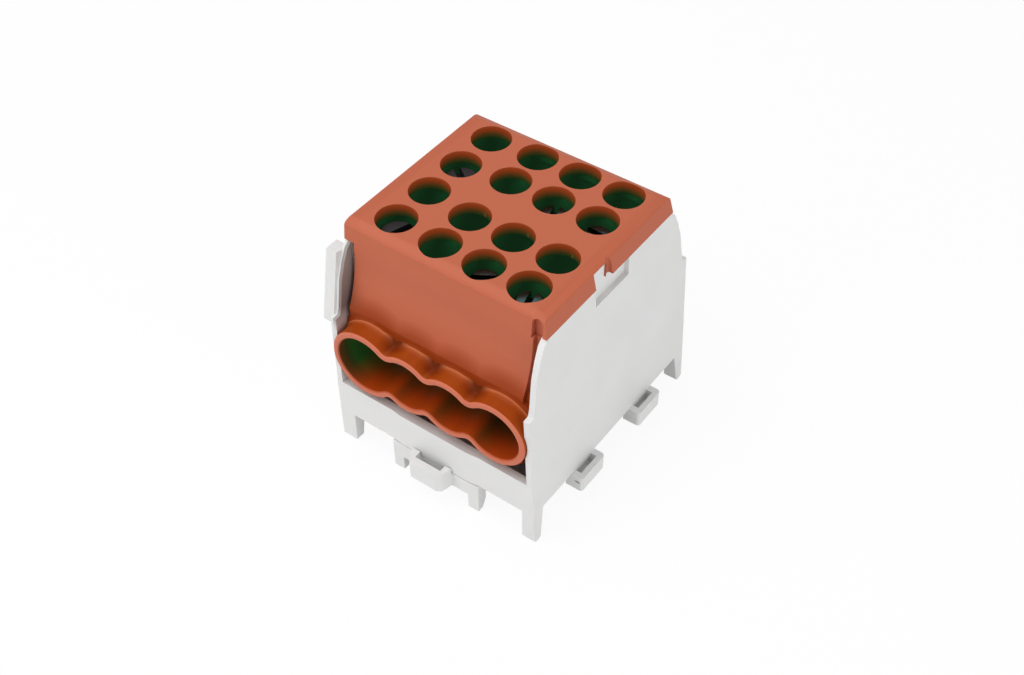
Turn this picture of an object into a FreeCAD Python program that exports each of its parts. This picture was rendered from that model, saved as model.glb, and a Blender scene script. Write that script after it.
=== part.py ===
import FreeCAD, Part
import math
import os

# Single-pole power distribution block for a 35 mm rail.
# A light grey moulded base carries one metal clamping block with four through channels.
# A brown moulded cover snaps down between the base's side walls. Its sixteen holes give
# a screwdriver access to sixteen clamping screws, and a wavy collar at the front and at
# the back leads one conductor into each end of each channel.
# Units are millimetres. The origin is the centre of the rail seat on the underside.
# X runs along the front, Y from front to back, Z up.

V = FreeCAD.Vector

# Conductor columns, from left to right. The first takes the largest conductor.
COLUMN_PITCH = 9.3
MAIN_COLUMN_GAP = 10.1
LAST_COLUMN_X = (2 * COLUMN_PITCH + MAIN_COLUMN_GAP) / 2
COLUMN_X = [
    LAST_COLUMN_X - 2 * COLUMN_PITCH - MAIN_COLUMN_GAP,
    LAST_COLUMN_X - 2 * COLUMN_PITCH,
    LAST_COLUMN_X - COLUMN_PITCH,
    LAST_COLUMN_X,
]

# Depths. Each is set back from the base's front, and the back is the same.
SKIRT_FRONT_Y = 26.0
COLLAR_RIM_Y = SKIRT_FRONT_Y + 0.6
COLLAR_ROOT_Y = COLLAR_RIM_Y - 3.8
CREASE_Y = COLLAR_ROOT_Y - 2.8
CAP_EDGE_Y = CREASE_Y - 0.5
CAP_CROWN_Y = CREASE_Y - 2.35
BLOCK_HALF_LENGTH = CREASE_Y - 1.8

# Rows of screws, from front to back
ROW_NAMES = "abcd"
OUTER_ROW_Y = BLOCK_HALF_LENGTH - 3.7
INNER_ROW_Y = OUTER_ROW_Y * 0.42
MAIN_ROW_PITCH = (OUTER_ROW_Y - 0.55) / 1.5

# Heights above the rail seat
LEG_DEPTH = 3.4
FLOOR_Z = 4.0
FLOOR_THICKNESS = 1.6
SKIRT_TOP_Z = 12.0
TOP_Z = 47.0
CAP_EDGE_Z = TOP_Z - 0.8
WALL_TOP_Z = TOP_Z - 4.1
CREASE_Z = WALL_TOP_Z - 1.2
COLLAR_ROOT_Z = CREASE_Z - 12.2
COVER_BOTTOM_Z = SKIRT_TOP_Z + 0.4

# Base housing
LEFT_WALL_X = COLUMN_X[0] - 7.15
RIGHT_WALL_TOP_X = COLUMN_X[3] + 7.25
RIGHT_WALL_LEAN = 0.056
WALL_THICKNESS = 1.2
COLLAR_RELIEF_GAP = 0.12
SKIRT_THICKNESS = 1.6
# Front edge of the side walls above the step: setback from the skirt, and drop from the top
WALL_SHOULDER = [(6.6, 0), (5.3, 1.1), (4.1, 3.7), (2.95, 7.2), (2.0, 13.3), (1.55, 14.6)]
WALL_STEP = (0.25, 14.7)
WALL_EDGE_RADIUS = 0.35
LEFT_LEG_WIDTH = 3.4
RIGHT_LEG_WIDTH = 2.9
LEG_ROOT_LENGTH = 3.1
LEG_TOE_LENGTH = 1.9
TOE_RADIUS = 0.6
POST_THICKNESS = 2.5
# Ends of the post's front face: setback from the skirt, and drop from the wall's top
POST_BOTTOM = (0.8, 16.6)
POST_TOP = (3.6, 1.6)
POST_BACK_Y = SKIRT_FRONT_Y - 6.5
POCKET_Y = (-5.2, 5.2)
POCKET_Z = WALL_TOP_Z - 3.9
POCKET_DEPTH = 0.85
POCKET_BACKING = 0.9
SIDE_LOOP_Y = 9.9
SIDE_LOOP_LENGTH = 7.7
SIDE_LOOP_REACH = 2.4
SIDE_LOOP_HEIGHT = 3.8
SIDE_LOOP_SLOT = (1.3, 5.0)
SIDE_LOOP_BAR = 1.1
LOOP_CORNER_RADIUS = 0.7
SEAT_RIB_WIDTH = 1.6
SEAT_RIB_REACH = 15.6
SEAT_RIB_PITCH = 12.0
RAIL_WIDTH = 35.0
RAIL_LIP = 1.0
RAIL_CLEARANCE = 0.2
HOOK_BITE = 1.3
HOOK_NOSE_HEIGHT = 1.5
HOOK_THICKNESS = 2.2
HOOK_X = (-6.0, 8.8)
BLOCK_RIB_Y = 8.0
BLOCK_RIB_WIDTH = 2.0

# Clamping block
BLOCK_X = (COLUMN_X[0] - 4.85, COLUMN_X[3] + 4.55)
MAIN_CHANNEL_RADIUS = 4.5
CHANNEL_RADIUS = 3.8
MAIN_CHANNEL_Z = 20.9
CHANNEL_Z = 21.3
BLOCK_Z = (MAIN_CHANNEL_Z - MAIN_CHANNEL_RADIUS - 2.1, TOP_Z - 11.8)
BLOCK_CHAMFER = 0.5
CHANNEL_MOUTH_CHAMFER = 0.5
BLOCK_CLEARANCE = 0.4

# Cover
PLATE_THICKNESS = 2.6
COVER_WALL = 1.2
COVER_SIDE_WALL = 0.9
COVER_BODY_X = (BLOCK_X[0] - 0.2, BLOCK_X[1] + 0.1)
# Cap outline seen from the front, from the lower left round to the lower right
CAP_OUTLINE = [
    (LEFT_WALL_X - 0.1, WALL_TOP_Z),
    (LEFT_WALL_X - 0.1, TOP_Z),
    (RIGHT_WALL_TOP_X - 2.3, TOP_Z),
    (RIGHT_WALL_TOP_X - 0.7, TOP_Z - 0.7),
    (RIGHT_WALL_TOP_X + 0.05, WALL_TOP_Z),
]
CAP_SIDE_RADIUS = 0.5
CAP_EDGE_RADIUS = 0.8
CAP_CROWN_RADIUS = 2.0
CAP_SKIRT_INNER_X = (LEFT_WALL_X + 1.3, RIGHT_WALL_TOP_X - 1.6)
CORNER_GROOVE_RADIUS = 1.1
CORNER_GROOVE_DEPTH = 0.8
CORNER_GROOVE_X = RIGHT_WALL_TOP_X - 2.0
CORNER_GROOVE_TOP_Z = TOP_Z - 0.8
CORNER_STRIP_X = RIGHT_WALL_TOP_X - 1.4
CORNER_STRIP_SETBACK = 1.0
NOTCH_Y = (-5.2, -1.4)
NOTCH_TOP_Z = TOP_Z - 0.9
TONGUE_THICKNESS = 0.8
TONGUE_CLEARANCE = 0.1
SKIRT_GROOVE_RADIUS = 0.68
SKIRT_GROOVE_DEPTH = 1.25
DRIVER_HOLE_RADIUS = 3.87
CELL_WALL = 0.7
MAIN_CELL_WIDTH = 8.9

# Collar lobes: centre X, centre Z and outer radius at the rim
COLLAR_LOBES = [
    (COLUMN_X[0] + 0.6, MAIN_CHANNEL_Z, 7.3),
    (COLUMN_X[1], CHANNEL_Z - 0.05, 6.5),
    (COLUMN_X[2], CHANNEL_Z - 0.05, 6.5),
    (COLUMN_X[3] + 0.7, CHANNEL_Z - 0.05, 6.95),
]
COLLAR_TRIM = 0.02
COLLAR_WALL = 1.3
COLLAR_VALLEY_RADIUS = 1.4
COLLAR_RIM_CHAMFER = 0.3
# Cove where the collar meets the cover's face: distance from the face, and growth in radius
COLLAR_COVE = [(1.3, 0), (0.7, 0.15), (0.25, 0.5), (0, 1.3)]
COLLAR_COVE_GAP = 0.15

# Clamping screws
MAIN_SCREW_RADIUS = 3.8
SCREW_RADIUS = 3.0
SCREW_CLEARANCE = 0.06
SCREW_LENGTH = 12.0
SCREW_SLOT_WIDTH = 1.2
SCREW_SLOT_DEPTH = 2.0
SCREW_POINT_CHAMFER = 0.8
RAISED_GAP = 0.5
LOWERED_GAP = 0.2
# Screws that stand unscrewed, as row letter and column number
RAISED_SCREWS = ("a1", "a3", "a4", "c1", "c3", "c4")

# Rail latch
LATCH_X = (-8.4, 11.6)
LATCH_PROUD = 0.3
LATCH_CLEARANCE = 0.15
LATCH_PLATE_THICKNESS = 1.7
LATCH_BOTTOM_Z = 0.2
LATCH_LEG_WIDTH = 2.4
LATCH_LEG_DEPTH = 3.4
LATCH_LEG_LENGTH = 2.4
LATCH_LOOP_ROOT_X = (-3.5, 5.7)
LATCH_LOOP_TIP_X = (-2.4, 4.9)
LATCH_LOOP_REACH = 3.0
LATCH_LOOP_Z = (0.4, 5.2)
LATCH_LOOP_CORNER_RADIUS = 1.4
LATCH_LOOP_SLOT_X = (-1.6, 4.2)
LATCH_LOOP_SLOT_DEPTH = 1.7
LATCH_TONGUE_X = (-4.5, 7.3)
LATCH_TONGUE_THICKNESS = 2.1
LATCH_FLANGE = 1.0
LATCH_FLANGE_THICKNESS = 1.0
GUIDE_CLEARANCE = 0.2
GUIDE_WALL = 1.3
GUIDE_LIP_HEIGHT = 1.0


def box(x, y, z):
    """Box between two values on each axis."""
    return Part.makeBox(x[1] - x[0], y[1] - y[0], z[1] - z[0], V(x[0], y[0], z[0]))


def prism_along_x(points, x0, x1):
    """Solid from an outline of (y, z) points, between two X planes."""
    corners = [V(x0, y, z) for y, z in points]
    wire = Part.makePolygon(corners + corners[:1])
    return Part.Face(wire).extrude(V(x1 - x0, 0, 0))


def prism_along_y(points, y0, y1):
    """Solid from an outline of (x, z) points, between two Y planes."""
    corners = [V(x, y0, z) for x, z in points]
    wire = Part.makePolygon(corners + corners[:1])
    return Part.Face(wire).extrude(V(0, y1 - y0, 0))


def cylinder_along_y(x, z, radius, y0, y1):
    """Round bar along Y."""
    return Part.makeCylinder(radius, y1 - y0, V(x, y0, z), V(0, 1, 0))


def mirrored(shape):
    """The same shape at the back of the part."""
    return shape.mirror(V(0, 0, 0), V(0, 1, 0))


def both_ends(shape):
    """A front feature and its copy at the back, as a list."""
    return [shape, mirrored(shape)]


def joined(shapes):
    """One solid from several that meet, with the seams between flat faces taken out."""
    result = shapes[0].multiFuse(shapes[1:])
    return result.removeSplitter()


def edges_where(shape, test):
    """Edges of a shape whose ends and middle all pass a test on a point."""
    found = []
    for edge in shape.Edges:
        middle = edge.valueAt((edge.FirstParameter + edge.LastParameter) / 2)
        points = [vertex.Point for vertex in edge.Vertexes] + [middle]
        if all(test(point) for point in points):
            found.append(edge)
    return found


def near(value, target):
    """Whether a coordinate lies on a plane."""
    return abs(value - target) < 1e-4


def right_wall_x(z):
    """Outer face of the right wall, which leans outwards towards the rail."""
    return RIGHT_WALL_TOP_X + RIGHT_WALL_LEAN * (WALL_TOP_Z - z)


def column_rows(column):
    """Y of the four holes of a column, front row first."""
    if column == 0:
        return [(index - 1.5) * MAIN_ROW_PITCH for index in range(4)]
    return [-OUTER_ROW_Y, -INNER_ROW_Y, INNER_ROW_Y, OUTER_ROW_Y]


def hole_places():
    """Name, column number, X and Y of each of the sixteen screw places."""
    places = []
    for column, x in enumerate(COLUMN_X):
        for row, y in zip(ROW_NAMES, column_rows(column)):
            places.append((row + str(column + 1), column, x, y))
    return places


def channel(column):
    """Radius and height of a column's conductor channel."""
    if column == 0:
        return MAIN_CHANNEL_RADIUS, MAIN_CHANNEL_Z
    return CHANNEL_RADIUS, CHANNEL_Z


def screw_radius(column):
    """Radius of the screws in a column."""
    return MAIN_SCREW_RADIUS if column == 0 else SCREW_RADIUS


# Base housing

def wall_front_edge():
    """Front edge of the side walls above the floor, from the bottom up."""
    setbacks = [WALL_STEP] + WALL_SHOULDER[::-1]
    return [(setback - SKIRT_FRONT_Y, WALL_TOP_Z - drop) for setback, drop in setbacks]


def wall_outline():
    """Side wall outline from the floor up, the same at the front and at the back."""
    front = [(-SKIRT_FRONT_Y, FLOOR_Z)] + wall_front_edge()
    back = [(-y, z) for y, z in reversed(front)]
    return front + back


def right_side_envelope():
    """Everything inside the right wall's leaning outer face."""
    low_z = -LEG_DEPTH - 1
    high_z = TOP_Z + 1
    reach = LEFT_WALL_X * 2
    points = [(reach, low_z), (right_wall_x(low_z), low_z), (right_wall_x(high_z), high_z), (reach, high_z)]
    return prism_along_y(points, -2 * SKIRT_FRONT_Y, 2 * SKIRT_FRONT_Y)


def left_wall():
    """Upright left wall."""
    return prism_along_x(wall_outline(), LEFT_WALL_X, LEFT_WALL_X + WALL_THICKNESS)


def right_wall(envelope):
    """Leaning right wall of even thickness."""
    plate = prism_along_x(wall_outline(), 0, 2 * RIGHT_WALL_TOP_X)
    inner = envelope.copy()
    inner.translate(V(-WALL_THICKNESS, 0, 0))
    return plate.common(envelope).cut(inner)


def collar_reliefs():
    """Room on the inner faces of both walls for the outermost collar lobes."""
    gap = COLLAR_RELIEF_GAP
    trim = collar_trim()
    limits = box((trim[0] - gap, trim[1] + gap), (-2 * SKIRT_FRONT_Y, 0), (0, TOP_Z))
    reliefs = []
    for lobe in (COLLAR_LOBES[0], COLLAR_LOBES[-1]):
        room = lobe_bar(lobe, gap, -COLLAR_RIM_Y - 1, -BLOCK_HALF_LENGTH)
        reliefs += both_ends(room.common(limits))
    return reliefs


def corner_leg(x0, x1):
    """Front corner leg that tapers towards its toe."""
    outer = -SKIRT_FRONT_Y
    points = [
        (outer, FLOOR_Z + FLOOR_THICKNESS),
        (outer, -LEG_DEPTH),
        (outer + LEG_TOE_LENGTH, -LEG_DEPTH),
        (outer + LEG_ROOT_LENGTH, FLOOR_Z),
        (outer + LEG_ROOT_LENGTH, FLOOR_Z + FLOOR_THICKNESS),
    ]
    leg = prism_along_x(points, x0, x1)
    toe_edges = edges_where(leg, lambda p: near(p.z, -LEG_DEPTH))
    return leg.makeFillet(TOE_RADIUS, toe_edges)


def spacer_post():
    """Upright pad on the outside of the left wall, with a straight front face."""
    (low_setback, low_drop), (high_setback, high_drop) = POST_BOTTOM, POST_TOP
    low_z = WALL_TOP_Z - low_drop
    high_z = WALL_TOP_Z - high_drop
    points = [
        (low_setback - SKIRT_FRONT_Y, low_z),
        (high_setback - SKIRT_FRONT_Y, high_z),
        (-POST_BACK_Y, high_z),
        (-POST_BACK_Y, low_z),
    ]
    outer_x = LEFT_WALL_X - POST_THICKNESS
    post = prism_along_x(points, outer_x, LEFT_WALL_X)
    return post.makeFillet(WALL_EDGE_RADIUS, edges_where(post, lambda p: near(p.x, outer_x)))


def cross_skirt():
    """Low cross wall under the front collar."""
    outer = -SKIRT_FRONT_Y
    return box((LEFT_WALL_X, right_wall_x(FLOOR_Z)), (outer, outer + SKIRT_THICKNESS), (FLOOR_Z, SKIRT_TOP_Z))


def raised_panel():
    """Slightly proud panel in the middle of the front skirt, with a gentle ramp at each end."""
    inner = SKIRT_THICKNESS / 2 - SKIRT_FRONT_Y
    proud = -SKIRT_FRONT_Y - LATCH_PROUD
    left, right = LATCH_X
    outline = [
        (left, inner), (left, -SKIRT_FRONT_Y), (left + LATCH_LEG_WIDTH, proud),
        (right - LATCH_LEG_WIDTH, proud), (right, -SKIRT_FRONT_Y), (right, inner),
    ]
    corners = [V(x, y, FLOOR_Z) for x, y in outline]
    return Part.Face(Part.makePolygon(corners + corners[:1])).extrude(V(0, 0, SKIRT_TOP_Z - FLOOR_Z))


def floor_plate():
    """Floor between the walls."""
    x = (LEFT_WALL_X, right_wall_x(FLOOR_Z))
    return box(x, (-SKIRT_FRONT_Y, SKIRT_FRONT_Y), (FLOOR_Z, FLOOR_Z + FLOOR_THICKNESS))


def seat_ribs():
    """Grid of ribs under the floor. Their lower edges are the rail seat."""
    ribs = []
    half = SEAT_RIB_WIDTH / 2
    for step in (-1, 0, 1):
        place = step * SEAT_RIB_PITCH
        ribs.append(box((place - half, place + half), (-SEAT_RIB_REACH, SEAT_RIB_REACH), (0, FLOOR_Z)))
        ribs.append(box((-SEAT_RIB_REACH, SEAT_RIB_REACH), (place - half, place + half), (0, FLOOR_Z)))
    return ribs


def rail_hook(x, reach_top_z):
    """Hook that grips the front edge of the rail, seen from the side."""
    edge = -RAIL_WIDTH / 2
    outer = edge - RAIL_CLEARANCE - HOOK_THICKNESS
    nose_top = -RAIL_LIP - RAIL_CLEARANCE
    points = [
        (outer, reach_top_z),
        (outer, nose_top - HOOK_NOSE_HEIGHT),
        (edge - RAIL_CLEARANCE, nose_top - HOOK_NOSE_HEIGHT),
        (edge + HOOK_BITE, nose_top),
        (edge - RAIL_CLEARANCE, nose_top),
        (edge - RAIL_CLEARANCE, reach_top_z),
    ]
    return prism_along_x(points, x[0], x[1])


def latch_guides():
    """Two rails under the floor that carry the latch's side flanges."""
    front_y = -SKIRT_FRONT_Y - LATCH_PROUD + LATCH_LEG_LENGTH + GUIDE_CLEARANCE
    back_y = -RAIL_WIDTH / 2 - RAIL_CLEARANCE
    flange_bottom = FLOOR_Z - GUIDE_CLEARANCE - LATCH_FLANGE_THICKNESS
    lip_top = flange_bottom - GUIDE_CLEARANCE
    lip_z = (lip_top - GUIDE_LIP_HEIGHT, lip_top)
    guides = []
    for edge, side in ((LATCH_TONGUE_X[0], -1), (LATCH_TONGUE_X[1], 1)):
        inner = edge + side * GUIDE_CLEARANCE
        flange_outer = edge + side * (LATCH_FLANGE + GUIDE_CLEARANCE)
        outer = flange_outer + side * GUIDE_WALL
        wall_x = tuple(sorted((flange_outer, outer)))
        lip_x = tuple(sorted((inner, outer)))
        guides.append(box(wall_x, (front_y, back_y), (lip_z[0], FLOOR_Z)))
        guides.append(box(lip_x, (front_y, back_y), lip_z))
    return guides


def side_loop(centre_y):
    """Pull eye that hangs from the right wall's lower edge."""
    wall_x = right_wall_x(FLOOR_Z)
    outer_x = wall_x + SIDE_LOOP_REACH
    half = SIDE_LOOP_LENGTH / 2
    z = (FLOOR_Z - SIDE_LOOP_HEIGHT, FLOOR_Z)
    eye = box((wall_x - WALL_THICKNESS, outer_x), (centre_y - half, centre_y + half), z)
    corners = edges_where(eye, lambda p: near(p.x, outer_x) and not near(p.y, centre_y))
    upright = [edge for edge in corners if near(edge.Length, SIDE_LOOP_HEIGHT)]
    eye = eye.makeFillet(LOOP_CORNER_RADIUS, upright)
    lower = edges_where(eye, lambda p: near(p.z, z[0]) and p.x > wall_x)
    outer_lower = [edge for edge in lower if edge.BoundBox.XMax > outer_x - LOOP_CORNER_RADIUS - 0.01]
    eye = eye.makeChamfer(WALL_EDGE_RADIUS, outer_lower)
    slot_x = (outer_x - SIDE_LOOP_BAR - SIDE_LOOP_SLOT[0], outer_x - SIDE_LOOP_BAR)
    slot_half = SIDE_LOOP_SLOT[1] / 2
    slot = box(slot_x, (centre_y - slot_half, centre_y + slot_half), (z[0] - 1, z[1] + 1))
    return eye.cut(slot)


def pocket_backing():
    """Thicker wall behind the clip pocket, and the tongue that fills the cover's notch."""
    outer = right_wall_x(WALL_TOP_Z)
    recessed = outer - POCKET_DEPTH
    backing_x = (recessed - POCKET_BACKING, outer - WALL_THICKNESS / 2)
    backing = box(backing_x, (POCKET_Y[0] - 1, POCKET_Y[1] + 1), (POCKET_Z - 2, WALL_TOP_Z))
    tongue_y = (NOTCH_Y[0] + TONGUE_CLEARANCE, NOTCH_Y[1] - TONGUE_CLEARANCE)
    tongue = box((recessed - TONGUE_THICKNESS, recessed), tongue_y, (POCKET_Z, NOTCH_TOP_Z - TONGUE_CLEARANCE))
    return [backing, tongue]


def clip_pocket():
    """Shallow recess in the top of the right wall's outer face."""
    outer = right_wall_x(WALL_TOP_Z)
    return box((outer - POCKET_DEPTH, outer + 2), POCKET_Y, (POCKET_Z, TOP_Z))


def block_ribs():
    """Two cross ribs on the floor that carry the clamping block."""
    ribs = []
    for y in (-BLOCK_RIB_Y, BLOCK_RIB_Y):
        half = BLOCK_RIB_WIDTH / 2
        x = (LEFT_WALL_X + WALL_THICKNESS / 2, right_wall_x(BLOCK_Z[0]) - WALL_THICKNESS / 2)
        ribs.append(box(x, (y - half, y + half), (FLOOR_Z, BLOCK_Z[0])))
    return ribs


def base_housing():
    """The light grey moulding, in one piece."""
    envelope = right_side_envelope()
    shell = [left_wall(), right_wall(envelope), floor_plate(), raised_panel()] + both_ends(cross_skirt())
    shell += block_ribs() + seat_ribs() + latch_guides()
    shell += both_ends(corner_leg(LEFT_WALL_X, LEFT_WALL_X + LEFT_LEG_WIDTH))
    right_leg_x = right_wall_x(-LEG_DEPTH)
    shell += both_ends(corner_leg(right_leg_x - RIGHT_LEG_WIDTH, right_leg_x + 1))
    shell.append(mirrored(rail_hook(HOOK_X, FLOOR_Z)))
    shell += pocket_backing()
    body = joined([part.common(envelope) for part in shell])
    body = body.cut(clip_pocket())
    body = body.cut(collar_reliefs())
    outside = both_ends(spacer_post()) + [side_loop(-SIDE_LOOP_Y), side_loop(SIDE_LOOP_Y)]
    return joined([body] + outside)


# Cover

def sweep_radius():
    """Radius of the hollow sweep between the crease and the collar's root."""
    rise = CREASE_Z - COLLAR_ROOT_Z
    reach = COLLAR_ROOT_Y - CREASE_Y
    return (rise ** 2 + reach ** 2) / (2 * reach)


def cover_profile(x, inset, bottom_z, top_points):
    """Face in the YZ plane, inset from the cover's outside, with a given edge at the top."""
    radius = sweep_radius()
    turn = math.asin((CREASE_Z - COLLAR_ROOT_Z) / radius)
    centre_y = CREASE_Y + radius
    swept = radius + inset

    def sweep_point(side, angle):
        return V(x, side * (centre_y - swept * math.cos(angle)), CREASE_Z - swept * math.sin(angle))

    low_y = sweep_point(1, turn).y
    edges = [Part.makeLine(V(x, -low_y, bottom_z), V(x, low_y, bottom_z))]
    for side in (-1, 1):
        root = sweep_point(side, turn)
        crease = sweep_point(side, 0)
        edges.append(Part.makeLine(V(x, side * low_y, bottom_z), root))
        edges.append(Part.Arc(root, sweep_point(side, turn / 2), crease).toShape())
        corners = [crease] + [V(x, side * y, z) for y, z in top_points]
        edges += [Part.makeLine(*pair) for pair in zip(corners, corners[1:])]
    top_y, top_z = top_points[-1]
    edges.append(Part.makeLine(V(x, -top_y, top_z), V(x, top_y, top_z)))
    return Part.Face(Part.Wire(Part.__sortEdges__(edges)))


def profile_bar(x0, x1, inset, top_z, bottom_z):
    """The cover's side profile with a flat top, drawn out between two X planes."""
    lean = (CREASE_Y - CAP_EDGE_Y) / (CAP_EDGE_Z - CREASE_Z)
    top_y = CREASE_Y - inset - lean * (top_z - CREASE_Z)
    return cover_profile(x0, inset, bottom_z, [(top_y, top_z)]).extrude(V(x1 - x0, 0, 0))


def crowned_bar(x0, x1):
    """The cover's whole side profile, with rounded shoulders, between two X planes."""
    shoulders = [(CAP_EDGE_Y, CAP_EDGE_Z), (CAP_CROWN_Y, TOP_Z)]
    bar = cover_profile(x0, 0, COVER_BOTTOM_Z, shoulders).extrude(V(x1 - x0, 0, 0))
    for (y, z), radius in zip(shoulders, (CAP_EDGE_RADIUS, CAP_CROWN_RADIUS)):
        bar = bar.makeFillet(radius, edges_where(bar, lambda p: near(abs(p.y), y) and near(p.z, z)))
    return bar


def cover_body():
    """Hollow body with the front and back faces and both inner side walls."""
    outer = crowned_bar(COVER_BODY_X[0], COVER_BODY_X[1])
    inner_x = (COVER_BODY_X[0] + COVER_SIDE_WALL, COVER_BODY_X[1] - COVER_SIDE_WALL)
    hollow = profile_bar(inner_x[0], inner_x[1], COVER_WALL, TOP_Z - PLATE_THICKNESS, COVER_BOTTOM_Z - 1)
    return outer.cut(hollow)


def corner_strips():
    """Set-back strips that continue the front and back faces towards the right wall."""
    setback = CORNER_STRIP_SETBACK
    x = (COVER_BODY_X[1] - COVER_SIDE_WALL, CORNER_STRIP_X)
    strip = profile_bar(x[0], x[1], setback, WALL_TOP_Z + 1, COVER_BOTTOM_Z)
    return strip.cut(profile_bar(x[0] - 1, x[1] + 1, setback + COVER_WALL, TOP_Z, COVER_BOTTOM_Z - 1))


def cover_cap():
    """Top plate that overhangs both side walls, with a skirt on each side."""
    full = crowned_bar(CAP_OUTLINE[0][0] - 1, CAP_OUTLINE[-1][0] + 1)
    bar = prism_along_y(CAP_OUTLINE, -SKIRT_FRONT_Y, SKIRT_FRONT_Y)
    along = [edge for edge in bar.Edges if edge.BoundBox.YLength > SKIRT_FRONT_Y
             and edge.BoundBox.ZMin > WALL_TOP_Z + 0.01]
    cap = full.common(bar.makeFillet(CAP_SIDE_RADIUS, along))
    inner_y = (-CAP_EDGE_Y + COVER_WALL, CAP_EDGE_Y - COVER_WALL)
    return cap.cut(box(CAP_SKIRT_INNER_X, inner_y, (WALL_TOP_Z - 1, TOP_Z - PLATE_THICKNESS)))


def skirt_groove():
    """Upright groove in the right skirt beside the notch."""
    y = NOTCH_Y[1] + SKIRT_GROOVE_RADIUS
    x = CAP_OUTLINE[-1][0] - SKIRT_GROOVE_DEPTH + SKIRT_GROOVE_RADIUS
    z = (WALL_TOP_Z - 1, TOP_Z + 1)
    opening = box((x, 2 * RIGHT_WALL_TOP_X), (y - SKIRT_GROOVE_RADIUS, y + SKIRT_GROOVE_RADIUS), z)
    return opening.fuse(Part.makeCylinder(SKIRT_GROOVE_RADIUS, z[1] - z[0], V(x, y, z[0])))


def lobe_bar(lobe, extra, y0, y1):
    """One lobe as a round bar, grown by a clearance or shrunk by a wall."""
    x, z, radius = lobe
    return cylinder_along_y(x, z, radius + extra, y0, y1)


def valley_centre(left, right, side):
    """Centre of the rounding between two neighbouring lobes, above (1) or below (-1) them."""
    start = V(left[0], 0, left[1])
    across = V(right[0], 0, right[1]) - start
    apart = across.Length
    from_left = left[2] + COLLAR_VALLEY_RADIUS
    from_right = right[2] + COLLAR_VALLEY_RADIUS
    along = (from_left ** 2 - from_right ** 2 + apart ** 2) / (2 * apart)
    off = side * math.sqrt(from_left ** 2 - along ** 2)
    across.normalize()
    return start + across * along + V(-across.z, 0, across.x) * off


def towards(start, target, distance):
    """Point at a distance from a start, in the direction of a target."""
    step = target - start
    step.normalize()
    return start + step * distance


def arc_about(centre, first, last):
    """Shorter arc from one point to another round a centre, as an edge."""
    middle = towards(centre, (first + last) * 0.5, (first - centre).Length)
    return Part.Arc(first, middle, last).toShape()


def lobe_outline(extra):
    """Closed wavy outline of the four lobes at Y 0, all in arcs that meet smoothly."""
    centres = [V(x, 0, z) for x, z, _ in COLLAR_LOBES]
    radii = [radius + extra for _, _, radius in COLLAR_LOBES]
    edges = []
    ends = []
    for side in (1, -1):
        touches = []
        for index in range(len(centres) - 1):
            valley = valley_centre(COLLAR_LOBES[index], COLLAR_LOBES[index + 1], side)
            pair = [towards(centres[place], valley, radii[place]) for place in (index, index + 1)]
            edges.append(arc_about(valley, *pair))
            touches += pair
        for index in range(1, len(centres) - 1):
            edges.append(arc_about(centres[index], touches[2 * index - 1], touches[2 * index]))
        ends.append((touches[0], touches[-1]))
    for place, side in ((0, -1), (-1, 1)):
        far = centres[place] + V(side * radii[place], 0, 0)
        edges.append(Part.Arc(ends[0][place], far, ends[1][place]).toShape())
    return Part.Wire(Part.__sortEdges__(edges))


def lobe_tube(extra, y0, y1):
    """Four-lobed bar, grown by a clearance or shrunk by a wall's thickness."""
    bar = Part.Face(lobe_outline(extra)).extrude(V(0, y1 - y0, 0))
    bar.translate(V(0, y0, 0))
    return bar


def collar_trim():
    """X of both ends of the collar, just outside its outermost lobes."""
    first, last = COLLAR_LOBES[0], COLLAR_LOBES[-1]
    return first[0] - first[2] - COLLAR_TRIM, last[0] + last[2] + COLLAR_TRIM


def collar_coves():
    """Hollow roundings at the collar's root, in short tapers, kept between the side walls."""
    coves = []
    for x, z, radius in COLLAR_LOBES:
        outline = [V(x, 1 - COLLAR_ROOT_Y, z), V(x, -COLLAR_ROOT_Y - COLLAR_COVE[0][0], z)]
        for distance, growth in COLLAR_COVE:
            outline.append(V(x, -COLLAR_ROOT_Y - distance, z + radius + growth))
        outline.append(V(x, 1 - COLLAR_ROOT_Y, outline[-1].z))
        profile = Part.Face(Part.makePolygon(outline + outline[:1]))
        coves.append(profile.revolve(V(x, 0, z), V(0, 1, 0), 360))
    inner_x = (LEFT_WALL_X + WALL_THICKNESS + COLLAR_COVE_GAP,
               right_wall_x(MAIN_CHANNEL_Z + MAIN_CHANNEL_RADIUS) - WALL_THICKNESS - COLLAR_COVE_GAP)
    room = box(inner_x, (-COLLAR_RIM_Y, 0), (COVER_BOTTOM_Z, TOP_Z))
    return [cove.common(room) for cove in coves]


def collar():
    """Front collar with a chamfered rim, trimmed where it passes the side walls."""
    ring = lobe_tube(0, -COLLAR_RIM_Y, 1 - COLLAR_ROOT_Y)
    ring = ring.multiFuse(collar_coves()).cut(lobe_tube(-COLLAR_WALL, -COLLAR_RIM_Y - 1, 0))
    rim = edges_where(ring, lambda p: near(p.y, -COLLAR_RIM_Y))
    ring = ring.makeChamfer(COLLAR_RIM_CHAMFER, rim)
    return ring.common(box(collar_trim(), (-2 * COLLAR_RIM_Y, 0), (0, TOP_Z)))


def hollow_cell(column, row_limits):
    """Square well under one screwdriver hole."""
    x = COLUMN_X[column]
    if column == 0:
        x_range = (x - MAIN_CELL_WIDTH / 2, x + MAIN_CELL_WIDTH / 2)
    else:
        half = (COLUMN_PITCH - CELL_WALL) / 2
        x_range = (x - half, x + half)
    return box(x_range, row_limits, (BLOCK_Z[1], TOP_Z - PLATE_THICKNESS))


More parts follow.
